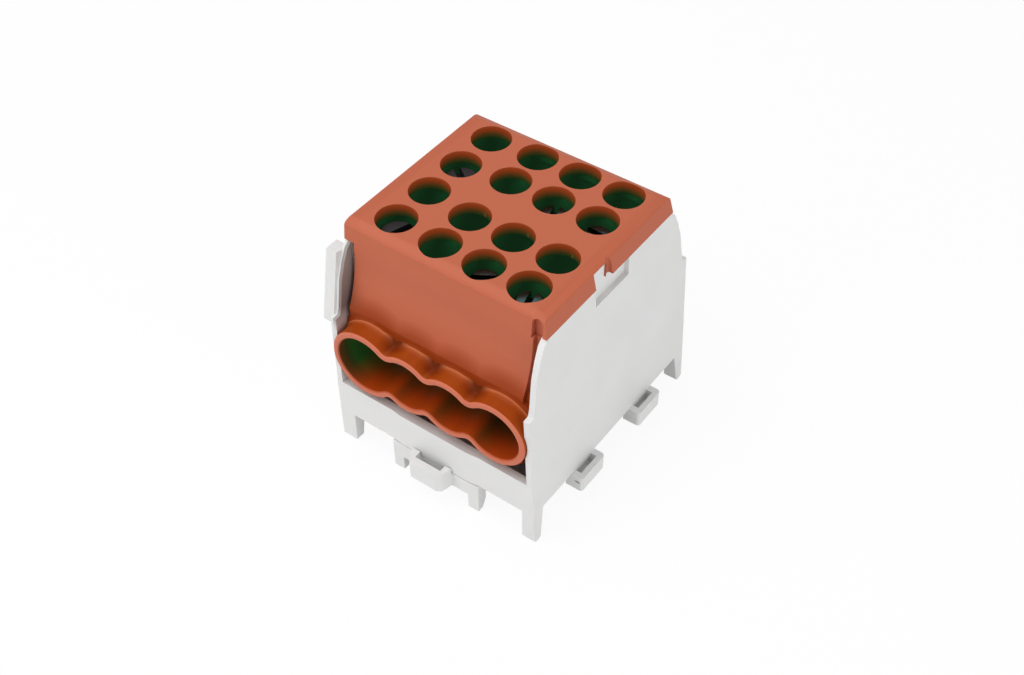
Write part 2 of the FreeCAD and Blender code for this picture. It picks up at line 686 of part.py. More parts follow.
def cell_limits(rows, index):
    """Front and back of a well, halfway to its neighbours less half a wall."""
    half_wall = CELL_WALL / 2
    outer = CAP_EDGE_Y
    low = (rows[index - 1] + rows[index]) / 2 + half_wall if index > 0 else -outer
    high = (rows[index + 1] + rows[index]) / 2 - half_wall if index < 3 else outer
    return low, high


def cover_cells():
    """Ribbed grid under the top plate with one well for each screw."""
    outer_x = (COVER_BODY_X[0] + COVER_SIDE_WALL / 2, COVER_BODY_X[1] - COVER_SIDE_WALL / 2)
    outer_y = (-CAP_EDGE_Y + COVER_WALL / 2, CAP_EDGE_Y - COVER_WALL / 2)
    low_z = BLOCK_Z[1] + BLOCK_CLEARANCE
    grid = box(outer_x, outer_y, (low_z, TOP_Z - PLATE_THICKNESS / 2))
    wells = []
    for column in range(4):
        rows = column_rows(column)
        for index in range(len(rows)):
            wells.append(hollow_cell(column, cell_limits(rows, index)))
    return grid.cut(wells)


def corner_groove():
    """Arched upright groove at the front right corner of the cover."""
    radius = CORNER_GROOVE_RADIUS
    y = (-SKIRT_FRONT_Y, CORNER_GROOVE_DEPTH - CAP_EDGE_Y)
    arch_z = CORNER_GROOVE_TOP_Z - radius
    shaft = box((CORNER_GROOVE_X - radius, CORNER_GROOVE_X + radius), y, (WALL_TOP_Z - 1, arch_z))
    return shaft.fuse(cylinder_along_y(CORNER_GROOVE_X, arch_z, radius, y[0], y[1]))


def skirt_notch():
    """Notch in the right skirt, up to its upper edge, where the base's tongue comes up."""
    recessed = right_wall_x(WALL_TOP_Z) - POCKET_DEPTH
    x = (recessed - TONGUE_THICKNESS - TONGUE_CLEARANCE, CAP_OUTLINE[-1][0] + 1)
    return box(x, NOTCH_Y, (WALL_TOP_Z - 1, NOTCH_TOP_Z))


def block_room():
    """Space that the clamping block takes up between the side walls."""
    length = BLOCK_HALF_LENGTH + BLOCK_CLEARANCE
    wide = 2 * SKIRT_FRONT_Y
    return box((-wide, wide), (-length, length), (0, BLOCK_Z[1] + BLOCK_CLEARANCE))


def cover():
    """The brown moulding, in one piece."""
    tunnel_end = -BLOCK_HALF_LENGTH - BLOCK_CLEARANCE
    shell = joined([cover_body(), corner_strips(), cover_cap(), cover_cells()])
    shell = shell.cut(block_room())
    sleeve = lobe_tube(0, -COLLAR_ROOT_Y, tunnel_end)
    shell = joined([shell] + both_ends(sleeve))
    tunnel = lobe_tube(-COLLAR_WALL, -COLLAR_RIM_Y - 1, tunnel_end + 1)
    shell = shell.cut(both_ends(tunnel))
    shell = joined([shell] + both_ends(collar()))
    holes = [Part.makeCylinder(DRIVER_HOLE_RADIUS, PLATE_THICKNESS + 2, V(x, y, TOP_Z - PLATE_THICKNESS - 1))
             for _, _, x, y in hole_places()]
    return shell.cut(holes + both_ends(corner_groove()) + [skirt_notch(), skirt_groove()])


# Clamping block and screws

def terminal_block():
    """Plated metal block with four through channels and sixteen threaded holes."""
    block = box(BLOCK_X, (-BLOCK_HALF_LENGTH, BLOCK_HALF_LENGTH), BLOCK_Z)
    block = block.makeChamfer(BLOCK_CHAMFER, block.Edges)
    cuts = []
    for column, x in enumerate(COLUMN_X):
        radius, z = channel(column)
        length = BLOCK_HALF_LENGTH + 1
        cuts.append(cylinder_along_y(x, z, radius, -length, length))
        mouth = Part.makeCone(radius + CHANNEL_MOUTH_CHAMFER, radius, CHANNEL_MOUTH_CHAMFER,
                              V(x, -BLOCK_HALF_LENGTH, z), V(0, 1, 0))
        cuts += both_ends(mouth)
    for _, column, x, y in hole_places():
        radius, z = channel(column)
        bore = screw_radius(column) + SCREW_CLEARANCE
        cuts.append(Part.makeCylinder(bore, BLOCK_Z[1] + 1 - z, V(x, y, z)))
    return block.cut(cuts)


def screw_bottom(name, column):
    """Height of a screw's point at rest."""
    radius, z = channel(column)
    if name in RAISED_SCREWS:
        return TOP_Z - PLATE_THICKNESS - RAISED_GAP - SCREW_LENGTH
    return z + radius + LOWERED_GAP


def clamping_screw(name, column, x, y):
    """Slotted screw without a head. It is turned about its own axis as a profile."""
    radius = screw_radius(column)
    low = screw_bottom(name, column)
    high = low + SCREW_LENGTH
    outline = [
        (0, low),
        (radius - SCREW_POINT_CHAMFER, low),
        (radius, low + SCREW_POINT_CHAMFER),
        (radius, high),
        (0, high),
    ]
    corners = [V(distance, 0, z) for distance, z in outline]
    profile = Part.Face(Part.makePolygon(corners + corners[:1]))
    screw = profile.revolve(V(0, 0, 0), V(0, 0, 1), 360)
    half_slot = SCREW_SLOT_WIDTH / 2
    slot = box((-radius - 1, radius + 1), (-half_slot, half_slot), (high - SCREW_SLOT_DEPTH, high + 1))
    screw = screw.cut(slot)
    screw.translate(V(x, y, 0))
    return screw


# Rail latch

def latch_loop():
    """Pull eye on the front of the latch."""
    front = -SKIRT_FRONT_Y - LATCH_PROUD
    inner = front + LATCH_PROUD
    outer = front - LATCH_LOOP_REACH
    low, high = LATCH_LOOP_Z
    corners = [
        V(LATCH_LOOP_ROOT_X[0], inner, low),
        V(LATCH_LOOP_TIP_X[0], outer, low),
        V(LATCH_LOOP_TIP_X[1], outer, low),
        V(LATCH_LOOP_ROOT_X[1], inner, low),
    ]
    eye = Part.Face(Part.makePolygon(corners + corners[:1])).extrude(V(0, 0, high - low))
    upright = [edge for edge in edges_where(eye, lambda p: near(p.y, outer)) if near(edge.Length, high - low)]
    eye = eye.makeFillet(LATCH_LOOP_CORNER_RADIUS, upright)
    slot = box(LATCH_LOOP_SLOT_X, (front - LATCH_LOOP_SLOT_DEPTH, front), (low - 1, high + 1))
    skirt_room = box(LATCH_X, (front - LATCH_CLEARANCE, inner + 1), (FLOOR_Z - GUIDE_CLEARANCE, high + 1))
    return eye.cut([slot, skirt_room])


def latch_leg(x0):
    """Short leg at one end of the latch plate, with its inner lower edge sloped."""
    outer = -SKIRT_FRONT_Y - LATCH_PROUD
    points = [
        (outer, FLOOR_Z - GUIDE_CLEARANCE),
        (outer, -LATCH_LEG_DEPTH),
        (outer + LATCH_LEG_LENGTH / 2, -LATCH_LEG_DEPTH),
        (outer + LATCH_LEG_LENGTH, -LATCH_LEG_DEPTH / 3),
        (outer + LATCH_LEG_LENGTH, FLOOR_Z - GUIDE_CLEARANCE),
    ]
    leg = prism_along_x(points, x0, x0 + LATCH_LEG_WIDTH)
    return leg.makeFillet(WALL_EDGE_RADIUS, edges_where(leg, lambda p: near(p.z, -LATCH_LEG_DEPTH)))


def rail_latch():
    """Sliding latch: front plate, pull eye, flanged tongue and the hook that grips the rail."""
    front = -SKIRT_FRONT_Y - LATCH_PROUD
    plate_y = (front, front + LATCH_PLATE_THICKNESS)
    tongue_top = FLOOR_Z - GUIDE_CLEARANCE
    plate = box(LATCH_X, plate_y, (LATCH_BOTTOM_Z, tongue_top))
    hook_y = -RAIL_WIDTH / 2 - RAIL_CLEARANCE
    tongue_z = (tongue_top - LATCH_TONGUE_THICKNESS, tongue_top)
    tongue = box(LATCH_TONGUE_X, (plate_y[0] + 1, hook_y), tongue_z)
    flange_x = (LATCH_TONGUE_X[0] - LATCH_FLANGE, LATCH_TONGUE_X[1] + LATCH_FLANGE)
    flange = box(flange_x, (plate_y[0] + 1, hook_y), (tongue_top - LATCH_FLANGE_THICKNESS, tongue_top))
    legs = [latch_leg(LATCH_X[0]), latch_leg(LATCH_X[1] - LATCH_LEG_WIDTH)]
    hook = rail_hook(LATCH_TONGUE_X, tongue_top)
    return joined([plate, tongue, flange, hook, latch_loop()] + legs)


def write(name, shape):
    """One STEP file for each piece, under its own name."""
    solids = shape.Solids
    assert len(solids) == 1 and shape.isValid(), name
    solids[0].exportStep(os.path.join("parts", name + ".step"))
    print(name, round(solids[0].Volume, 2))


def main():
    """Build and write every piece."""
    os.makedirs("parts", exist_ok=True)
    write("base_housing", base_housing())
    write("cover", cover())
    write("terminal_block", terminal_block())
    write("rail_latch", rail_latch())
    for name, column, x, y in hole_places():
        write("screw_" + name, clamping_screw(name, column, x, y))


main()
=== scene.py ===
"""Studio scene of a rail-mounted power distribution block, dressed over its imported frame."""

import logging
import math
from collections.abc import Iterable
from dataclasses import dataclass
from enum import Enum
from typing import ClassVar

import bmesh
import bpy
from mathutils import Matrix, Vector


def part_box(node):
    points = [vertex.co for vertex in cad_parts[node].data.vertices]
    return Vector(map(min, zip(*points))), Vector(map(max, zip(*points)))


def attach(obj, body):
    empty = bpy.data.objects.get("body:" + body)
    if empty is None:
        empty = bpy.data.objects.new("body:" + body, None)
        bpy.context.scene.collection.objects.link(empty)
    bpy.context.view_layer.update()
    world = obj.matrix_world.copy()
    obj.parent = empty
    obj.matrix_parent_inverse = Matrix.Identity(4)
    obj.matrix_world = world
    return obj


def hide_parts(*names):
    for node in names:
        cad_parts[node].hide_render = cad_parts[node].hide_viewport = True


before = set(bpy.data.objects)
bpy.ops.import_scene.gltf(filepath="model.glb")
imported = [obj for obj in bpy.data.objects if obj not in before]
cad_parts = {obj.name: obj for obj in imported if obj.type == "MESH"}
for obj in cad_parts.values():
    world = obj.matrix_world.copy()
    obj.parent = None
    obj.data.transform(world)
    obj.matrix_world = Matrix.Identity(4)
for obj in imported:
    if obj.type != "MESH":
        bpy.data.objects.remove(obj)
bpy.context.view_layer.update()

LOG = logging.getLogger("distribution_block")
MM = 0.001

Colour = tuple[float, float, float]
Point = tuple[float, float, float]
Span = tuple[float, float]
Stops = tuple[tuple[float, Colour], ...]
Socket = bpy.types.NodeSocket

BLACK: Colour = (0.0, 0.0, 0.0)
WHITE: Colour = (1.0, 1.0, 1.0)
EVEN: Point = (1.0, 1.0, 1.0)


def linear(red: int, green: int, blue: int) -> Colour:
    """Scene colour of an eight-bit display colour.

    Args:
        red: the red channel, 0 to 255.
        green: the green channel, 0 to 255.
        blue: the blue channel, 0 to 255.

    Returns:
        The same colour in linear light.
    """
    values = []
    for channel in (red, green, blue):
        share = channel / 255
        values.append(share / 12.92 if share <= 0.04045 else ((share + 0.055) / 1.055) ** 2.4)
    return (values[0], values[1], values[2])


@dataclass(frozen=True)
class Noise:
    """A noise texture: its scale, its detail and the scale's factor along each axis."""

    scale: float
    detail: float
    factors: Point = EVEN


@dataclass(frozen=True)
class Grain:
    """A fine noise, the range of roughness it gives, and its relief's strength and depth in metres."""

    noise: Noise
    smoothest: float
    roughest: float
    strength: float
    depth: float


class ShaderTree:
    """Small helper that adds and joins the nodes of one material or world."""

    def __init__(self, name: str, world: bool = False) -> None:
        """Starts an empty material, or an empty world.

        Args:
            name: the material's or world's name.
            world: whether to start a world.
        """
        self.owner = bpy.data.worlds.new(name) if world else bpy.data.materials.new(name)
        self.owner.use_nodes = True
        self.tree = self.owner.node_tree
        self.tree.nodes.clear()
        self.output = self.add("ShaderNodeOutputWorld" if world else "ShaderNodeOutputMaterial")

    def add(self, kind: str, **settings: object) -> bpy.types.Node:
        """Adds a node.

        Args:
            kind: the node's type.
            settings: properties of the node.

        Returns:
            The new node.
        """
        node = self.tree.nodes.new(kind)
        for key, value in settings.items():
            setattr(node, key, value)
        return node

    def join(self, source: Socket, target: Socket) -> None:
        """Links two sockets."""
        self.tree.links.new(source, target)

    def maths(self, operation: str, *terms: Socket | float) -> Socket:
        """Adds a Math node.

        Args:
            operation: the Math node's operation.
            terms: sockets or plain numbers, in the node's own order.

        Returns:
            The node's output socket.
        """
        node = self.add("ShaderNodeMath", operation=operation)
        for index, term in enumerate(terms):
            if isinstance(term, (int, float)):
                node.inputs[index].default_value = term
            else:
                self.join(term, node.inputs[index])
        return node.outputs[0]

    def fold(self, operation: str, values: Iterable[Socket]) -> Socket:
        """Takes several values together, as their product or the least of them.

        Args:
            operation: the Math node's operation.
            values: sockets of the values, at least one.

        Returns:
            The result's socket.
        """
        result = None
        for value in values:
            result = value if result is None else self.maths(operation, result, value)
        return result

    def between(self, value: Socket, span: Span) -> Socket:
        """1 where a value lies inside a span, 0 elsewhere."""
        above = self.maths("GREATER_THAN", value, span[0])
        return self.maths("MULTIPLY", above, self.maths("LESS_THAN", value, span[1]))

    def share(self, value: Socket, span: Span) -> Socket:
        """How far along a span a value lies, 0 at its start and 1 at its end."""
        return self.maths("DIVIDE", self.maths("SUBTRACT", value, span[0]), span[1] - span[0])

    def off_nearest(self, value: Socket, places: Iterable[float]) -> Socket:
        """Distance from a value to the nearest of some places."""
        reaches = [self.maths("ABSOLUTE", self.maths("SUBTRACT", value, place)) for place in places]
        return self.fold("MINIMUM", reaches)

    def vector(self, operation: str, value: Socket, other: Point) -> bpy.types.Node:
        """Adds a Vector Math node.

        Args:
            operation: the node's operation.
            value: socket of the first vector.
            other: the second vector.

        Returns:
            The node.
        """
        node = self.add("ShaderNodeVectorMath", operation=operation)
        node.inputs[1].default_value = other
        self.join(value, node.inputs[0])
        return node

    def ramp(self, factor: Socket, stops: Stops) -> Socket:
        """Adds a colour ramp.

        Args:
            factor: the value that runs along the ramp.
            stops: place and colour of each stop.

        Returns:
            The ramp's colour socket.
        """
        node = self.add("ShaderNodeValToRGB")
        elements = node.color_ramp.elements
        while len(elements) < len(stops):
            elements.new(0.5)
        for element, (place, colour) in zip(elements, stops):
            element.position = place
            element.color = (*colour, 1.0)
        self.join(factor, node.inputs["Fac"])
        return node.outputs["Color"]

    def rise(self, value: Socket, span: Span) -> Socket:
        """0 before a span, 1 past it, and an even slope in it."""
        return self.ramp(value, ((span[0], BLACK), (span[1], WHITE)))

    def fall(self, value: Socket, span: Span) -> Socket:
        """1 before a span, 0 past it, and an even slope in it."""
        return self.ramp(value, ((span[0], WHITE), (span[1], BLACK)))

    def blend(self, factor: Socket, first: Socket | Colour, second: Socket | Colour) -> Socket:
        """Mixes two colours.

        Args:
            factor: socket that is 0 for the first colour and 1 for the second.
            first: socket or colour.
            second: socket or colour.

        Returns:
            The mixed colour's socket.
        """
        node = self.add("ShaderNodeMix", data_type="RGBA")
        self.join(factor, node.inputs[0])
        for socket, value in ((node.inputs[6], first), (node.inputs[7], second)):
            if isinstance(value, tuple):
                socket.default_value = (*value, 1.0)
            else:
                self.join(value, socket)
        return node.outputs[2]

    def place(self) -> Socket:
        """Socket of the Object coordinates."""
        return self.add("ShaderNodeTexCoord").outputs["Object"]

    def axes(self, vector: Socket) -> tuple[Socket, Socket, Socket]:
        """Splits a vector into its three parts.

        Args:
            vector: the vector's socket.

        Returns:
            Sockets of the parts along X, Y and Z.
        """
        node = self.add("ShaderNodeSeparateXYZ")
        self.join(vector, node.inputs[0])
        return node.outputs[0], node.outputs[1], node.outputs[2]

    def noise(self, place: Socket, noise: Noise) -> Socket:
        """Adds a noise texture.

        Args:
            place: socket of the Object coordinates.
            noise: the texture's sizes.

        Returns:
            The noise's value socket.
        """
        if noise.factors != EVEN:
            mapping = self.add("ShaderNodeMapping")
            mapping.inputs["Scale"].default_value = noise.factors
            self.join(place, mapping.inputs["Vector"])
            place = mapping.outputs["Vector"]
        node = self.add("ShaderNodeTexNoise")
        node.inputs["Scale"].default_value = noise.scale
        node.inputs["Detail"].default_value = noise.detail
        self.join(place, node.inputs["Vector"])
        return node.outputs["Fac"]

    def spread(self, value: Socket, low: float, high: float) -> Socket:
        """Maps a value from 0 to 1 onto another range.

        Args:
            value: the value's socket.
            low: the new value at 0.
            high: the new value at 1.

        Returns:
            The new value's socket.
        """
        node = self.add("ShaderNodeMapRange")
        node.inputs["To Min"].default_value = low
        node.inputs["To Max"].default_value = high
        self.join(value, node.inputs["Value"])
        return node.outputs["Result"]

    def surface(self, place: Socket, colour: Socket, grain: Grain) -> bpy.types.Node:
        """Adds the material's shader and joins it to the output.

        Args:
            place: socket of the Object coordinates.
            colour: socket of the base colour.
            grain: the grain that gives roughness and relief.

        Returns:
            The shader's node, whose other sockets are still plain.
        """
        height = self.noise(place, grain.noise)
        relief = self.add("ShaderNodeBump")
        relief.inputs["Strength"].default_value = grain.strength
        relief.inputs["Distance"].default_value = grain.depth
        self.join(height, relief.inputs["Height"])
        shader = self.add("ShaderNodeBsdfPrincipled")
        self.join(colour, shader.inputs["Base Color"])
        self.join(self.spread(height, grain.smoothest, grain.roughest), shader.inputs["Roughness"])
        self.join(relief.outputs["Normal"], shader.inputs["Normal"])
        self.join(shader.outputs[0], self.output.inputs["Surface"])
        return shader

    def seen_directly(self) -> Socket:
        """1 for rays from the camera or off a glossy surface, 0 for the others."""
        path = self.add("ShaderNodeLightPath").outputs
        return self.maths("MAXIMUM", path["Is Camera Ray"], path["Is Glossy Ray"])


class Finish:
    """A finish that makes its material once, when it is first asked for."""

    _made: ClassVar[dict[str, bpy.types.Material]] = {}

    def material(self) -> bpy.types.Material:
        """Makes the material, or finds the one made before.

        Returns:
            The finish's material.
        """
        name = type(self).__name__
        if name not in Finish._made:
            tree = ShaderTree(name)
            self.paint(tree, tree.place())
            Finish._made[name] = tree.owner
        return Finish._made[name]

    def paint(self, tree: ShaderTree, place: Socket) -> None:
        """Adds the finish's nodes.

        Args:
            tree: the material's empty tree.
            place: socket of the Object coordinates.
        """
        raise NotImplementedError(type(self).__name__)


@dataclass(frozen=True)
class GreyPlastic(Finish):
    """Light grey polyamide with a fine spark-eroded grain, with painted shade where the left wall meets the
    cover and a painted shadow of the dimple on the front side eye.
    """

    pale: Colour = linear(224, 224, 223)
    shade: Colour = linear(215, 215, 214)
    cloud: Noise = Noise(90.0, 3.0)
    grain: Grain = Grain(Noise(5200.0, 2.0), smoothest=0.41, roughest=0.53, strength=0.25, depth=0.02 * MM)
    subsurface_share: float = 0.06
    subsurface_depth: float = 1.2 * MM
    # Painted shade on the left wall's upper edges next to the cover, pink at its foot as a painted reflection
    # of the brown cover
    edge_shade_low: Colour = linear(112, 82, 80)
    edge_shade_high: Colour = linear(146, 138, 133)
    edge_x: Span = (-20.93 * MM, -19.5 * MM)
    edge_y: float = 19.6 * MM
    edge_z: Span = (25.5 * MM, 42.9 * MM)
    edge_fade: Span = (0.0, 0.25)
    edge_high_share: float = 0.8
    # Painted shadow of the small dimple on the front side eye, a dark oval in place of its shade
    dimple_shadow: Colour = linear(140, 140, 139)
    dimple_place: Point = (25.1 * MM, -13.75 * MM, 2.7 * MM)
    dimple_half: Point = (0.72 * MM, 0.4 * MM, 0.36 * MM)
    dimple_fade: Span = (0.6, 1.0)

    def _dimple_shadow(self, tree: ShaderTree, place: Socket) -> Socket:
        """Mask of the painted shadow of the small dimple on the front side eye.

        Args:
            tree: the material's tree.
            place: socket of the Object coordinates.

        Returns:
            Socket that is 1 on the mark and 0 elsewhere.
        """
        away = tree.vector("SUBTRACT", place, self.dimple_place).outputs["Vector"]
        share = tree.vector("DIVIDE", away, self.dimple_half).outputs["Vector"]
        reach = tree.vector("DISTANCE", share, (0.0, 0.0, 0.0)).outputs["Value"]
        return tree.fall(reach, self.dimple_fade)

    def _wall_edge_shade(self, tree: ShaderTree, place: Socket, colour: Socket) -> Socket:
        """Paints shade on the upper front and back edges of the left wall, between the post and the cover,
        tinted pink as a painted reflection of the brown cover.

        Args:
            tree: the material's tree.
            place: socket of the Object coordinates.
            colour: socket of the plain colour.

        Returns:
            The colour's socket.
        """
        x, y, z = tree.axes(place)
        height = tree.share(z, self.edge_z)
        masks = [
            tree.between(x, self.edge_x),
            tree.maths("GREATER_THAN", tree.maths("ABSOLUTE", y), self.edge_y),
            tree.rise(height, self.edge_fade),
        ]
        painted_edge_shade = tree.ramp(height, ((0.0, self.edge_shade_low), (self.edge_high_share, self.edge_shade_high)))
        return tree.blend(tree.fold("MULTIPLY", masks), colour, painted_edge_shade)

    def paint(self, tree: ShaderTree, place: Socket) -> None:
        """Adds the grey plastic's nodes.

        Args:
            tree: the material's empty tree.
            place: socket of the Object coordinates.
        """
        colour = tree.blend(tree.noise(place, self.cloud), self.pale, self.shade)
        # Painted shade on the left wall's edges next to the cover
        colour = self._wall_edge_shade(tree, place, colour)
        # Painted shadow of the small dimple on the front side eye
        colour = tree.blend(self._dimple_shadow(tree, place), colour, self.dimple_shadow)
        shader = tree.surface(place, colour, self.grain)
        shader.inputs["Subsurface Weight"].default_value = self.subsurface_share
        shader.inputs["Subsurface Scale"].default_value = self.subsurface_depth


@dataclass(frozen=True)
class BrownPlastic(Finish):
    """Red-brown plastic with painted light and shade: wells and tunnels falling off to olive and dark green,
    darker face and collars where they meet, and a faint glow deep in the wells.
    """

    lit: Colour = linear(188, 102, 75)
    lit_cloud: Colour = linear(183, 97, 70)
    cloud: Noise = Noise(70.0, 3.0)
    grain: Grain = Grain(Noise(4600.0, 2.0), smoothest=0.37, roughest=0.5, strength=0.2, depth=0.02 * MM)
    specular_level: float = 0.12

    # The face, with painted shade: darker near its foot, near the left wall and above the collar
    low: Colour = linear(174, 82, 48)
    low_share: Span = (0.58, 0.76)
    shaded: Colour = linear(62, 50, 22)
    shaded_x: Span = (-20.2 * MM, -16.2 * MM)
    face_shade_at_collar: Colour = linear(144, 54, 6)
    face_shade_reach: float = 5.2 * MM
    face_shade_fall: Stops = ((0.12, WHITE), (0.5, (0.78, 0.78, 0.78)), (1.0, BLACK))

    # The wells under the plate
    top_z: float = 47.0 * MM
    crown_y: float = 17.65 * MM
    crown_slope: float = 0.432
    crease_z: float = 41.7 * MM
    well_reach: float = 2.7 * MM
    well_x: Span = (-19.3 * MM, 18.5 * MM)
    well_half_y: float = 19.1 * MM
    well_flare: float = 0.14
    well_low_z: float = 31.0 * MM
    # Painted shade down the wells: the walls fall from the lit brown to olive and dark green with depth
    well_wall_shade: Stops = (
        (0.02, lit),
        (0.06, linear(188, 80, 38)),
        (0.35, linear(172, 76, 34)),
        (0.7, linear(104, 84, 38)),
        (0.93, linear(62, 84, 38)),
        (0.97, linear(26, 88, 46)),
    )
    # Painted light: the deepest part of the wells glows a faint dark green, lifting their shade
    painted_glow: Colour = linear(15, 38, 20)
    painted_glow_level: float = 0.8
    painted_glow_start: float = 0.97
    # The ribs are only painted: a brown stripe, lighter than the wells' painted shade, as painted light on
    # the ribs
    painted_lit_rib: Colour = linear(126, 100, 54)
    rib_x: tuple[float, ...] = (-3.87 * MM, 5.43 * MM, 14.73 * MM)
    rib_half: float = 0.26 * MM
    rib_y: Span = (-2.8 * MM, -2.0 * MM)
    rib_start: float = 0.6

    # The collars outside: X, Z and radius of each lobe, and the valleys between them
    lobes: tuple[Point, ...] = (
        (-13.75 * MM, 20.9 * MM, 6.0 * MM),
        (-4.25 * MM, 21.25 * MM, 5.2 * MM),
        (5.05 * MM, 21.25 * MM, 5.2 * MM),
        (15.05 * MM, 21.25 * MM, 5.65 * MM),
    )
    collar_wall: float = 1.3 * MM
    collar_z: Span = (13.0 * MM, 29.0 * MM)
    crest_margin: float = 0.5 * MM
    valley_margin: float = 1.0 * MM
    valleys: tuple[float, ...] = (-8.3 * MM, 0.4 * MM, 9.7 * MM)
    valley_reach: float = 3.0 * MM
    valley_fade: Span = (0.25, 1.0)
    rim_y: float = 26.6 * MM
    face_y: float = 26.28 * MM
    root_y: float = 22.5 * MM
    # Painted light and shade on the collars' outside: a rim a little lighter than the plain brown, a painted
    # highlight where each crest meets the face, crests darker as painted shade and valleys darker still
    rim: Colour = linear(197, 110, 84)
    lip_highlight: Colour = linear(196, 108, 66)
    lip_highlight_fade: Span = (0.13, 0.24)
    collar: Colour = linear(160, 71, 12)
    collar_streak: Colour = linear(150, 58, 8)
    streak: Noise = Noise(620.0, 2.0, (1.0, 0.12, 1.0))
    valley: Stops = ((0.05, linear(104, 42, 10)), (0.5, linear(122, 44, 5)), (1.0, collar))

    # The tunnels in the collars
    tunnel_end_y: float = 19.1 * MM
    tunnel_margin: float = -0.52 * MM
    tunnel_facing: Span = (0.05, 0.75)
    tunnel_green_x: float = -9.0 * MM
    # Painted shade inside the tunnels: from the rim's brown down to olive and dark green with depth, greener
    # on the leftmost lobe's walls
    olive: Colour = linear(88, 58, 20)
    tunnel_floor_shade: Stops = (
        (0.0, rim),
        (0.05, linear(172, 66, 14)),
        (0.45, linear(166, 60, 10)),
        (0.8, linear(120, 56, 14)),
        (1.0, olive),
    )
    tunnel_wall_shade: Stops = (
        (0.0, rim),
        (0.05, linear(132, 56, 16)),
        (0.3, olive),
        (1.0, linear(64, 52, 20)),
    )
    tunnel_green_shade: Stops = (
        (0.0, rim),
        (0.05, linear(96, 52, 22)),
        (0.3, linear(56, 64, 26)),
        (0.5, linear(40, 92, 34)),
    )

    def _face_colour(self, tree: ShaderTree, place: Socket, beyond: Socket) -> Socket:
        """Colour of the plate and the face, without the wells and the collars, with painted shade near the
        face's foot, the left wall and the collar.

        Args:
            tree: the material's tree.
            place: socket of the Object coordinates.
            beyond: socket of the distance outside the lobes.

        Returns:
            The colour's socket.
        """
        x, _, z = tree.axes(place)
        low = tree.fall(tree.maths("DIVIDE", z, self.top_z), self.low_share)
        left = tree.fall(tree.share(x, self.shaded_x), (0.0, 1.0))
        above = tree.ramp(tree.maths("DIVIDE", beyond, self.face_shade_reach), self.face_shade_fall)
        colour = tree.blend(tree.noise(place, self.cloud), self.lit, self.lit_cloud)
        colour = tree.blend(low, colour, self.low)
        colour = tree.blend(tree.maths("MULTIPLY", left, low), colour, self.shaded)
        return tree.blend(above, colour, self.face_shade_at_collar)

    def _depth(self, tree: ShaderTree, along: Socket, z: Socket) -> Socket:
        """Depth below the crowned top.

        Args:
            tree: the material's tree.
            along: socket of the distance from the middle, front to back.
            z: socket of the height.

        Returns:
            Socket of the depth, 1 at the wells' reach.
        """
        past = tree.maths("MAXIMUM", tree.maths("SUBTRACT", along, self.crown_y), 0.0)
        skin = tree.maths("SUBTRACT", self.top_z, tree.maths("MULTIPLY", past, self.crown_slope))
        return tree.maths("DIVIDE", tree.maths("SUBTRACT", skin, z), self.well_reach)

    def _inside_well(self, tree: ShaderTree, x: Socket, along: Socket, z: Socket) -> Socket:
        """Mask of all that lies inside the cover's own outline in plan, above the tunnels.

        Args:
            tree: the material's tree.
            x: socket of the place across.
            along: socket of the distance from the middle, front to back.
            z: socket of the height.

        Returns:
            Socket that is 1 inside and 0 outside.
        """
        low = tree.maths("MAXIMUM", tree.maths("SUBTRACT", self.crease_z, z), 0.0)
        limit = tree.maths("ADD", tree.maths("MULTIPLY", low, self.well_flare), self.well_half_y)
        masks = [
            tree.between(x, self.well_x),
            tree.maths("LESS_THAN", along, limit),
            tree.maths("GREATER_THAN", z, self.well_low_z),
        ]
        return tree.fold("MULTIPLY", masks)

    def _well_ribs(self, tree: ShaderTree, x: Socket, y: Socket, depth: Socket) -> Socket:
        """Mask of the small upright ribs at the back of the second row's holes, which are only painted on, as
        a stripe of painted light against the wells' painted shade.

        Args:
            tree: the material's tree.
            x: socket of the place across.
            y: socket of the place front to back.
            depth: socket of the depth, 1 at the wells' reach.

        Returns:
            Socket that is 1 on the ribs and 0 elsewhere.
        """
        masks = [
            tree.maths("LESS_THAN", tree.off_nearest(x, self.rib_x), self.rib_half),
            tree.between(y, self.rib_y),
            tree.maths("GREATER_THAN", depth, self.rib_start),
        ]
        return tree.fold("MULTIPLY", masks)

    def _beyond_lobes(self, tree: ShaderTree, place: Socket) -> Socket:
        """Distance outside the nearest lobe's round, negative inside.

        Args:
            tree: the material's tree.
            place: socket of the Object coordinates.

        Returns:
            The distance's socket.
        """
        flat = tree.vector("MULTIPLY", place, (1.0, 0.0, 1.0)).outputs["Vector"]
        reaches = []
        for x, z, radius in self.lobes:
            reach = tree.vector("DISTANCE", flat, (x, 0.0, z)).outputs["Value"]
            reaches.append(tree.maths("SUBTRACT", reach, radius + self.collar_wall))
        return tree.fold("MINIMUM", reaches)

    def _collar_shade_colour(self, tree: ShaderTree, place: Socket, valley: Socket, along: Socket) -> Socket:
        """Painted shade of the collar's outside, darker in the valleys and darkest where they meet the face,
        with a painted highlight where each crest meets the face and a rim a little lighter than the plain
        brown.

        Args:
            tree: the material's tree.
            place: socket of the Object coordinates.
            valley: socket that is 1 in the valleys and 0 on the crests.
            along: socket of the distance from the middle, front to back.

        Returns:
            The colour's socket.
        """
        reach = tree.share(along, (self.root_y, self.rim_y))
        crest = tree.blend(tree.noise(place, self.streak), self.collar, self.collar_streak)
        crest = tree.blend(tree.rise(reach, self.lip_highlight_fade), self.lip_highlight, crest)
        body = tree.blend(valley, crest, tree.ramp(reach, self.valley))
        return tree.blend(tree.maths("GREATER_THAN", along, self.face_y), body, self.rim)

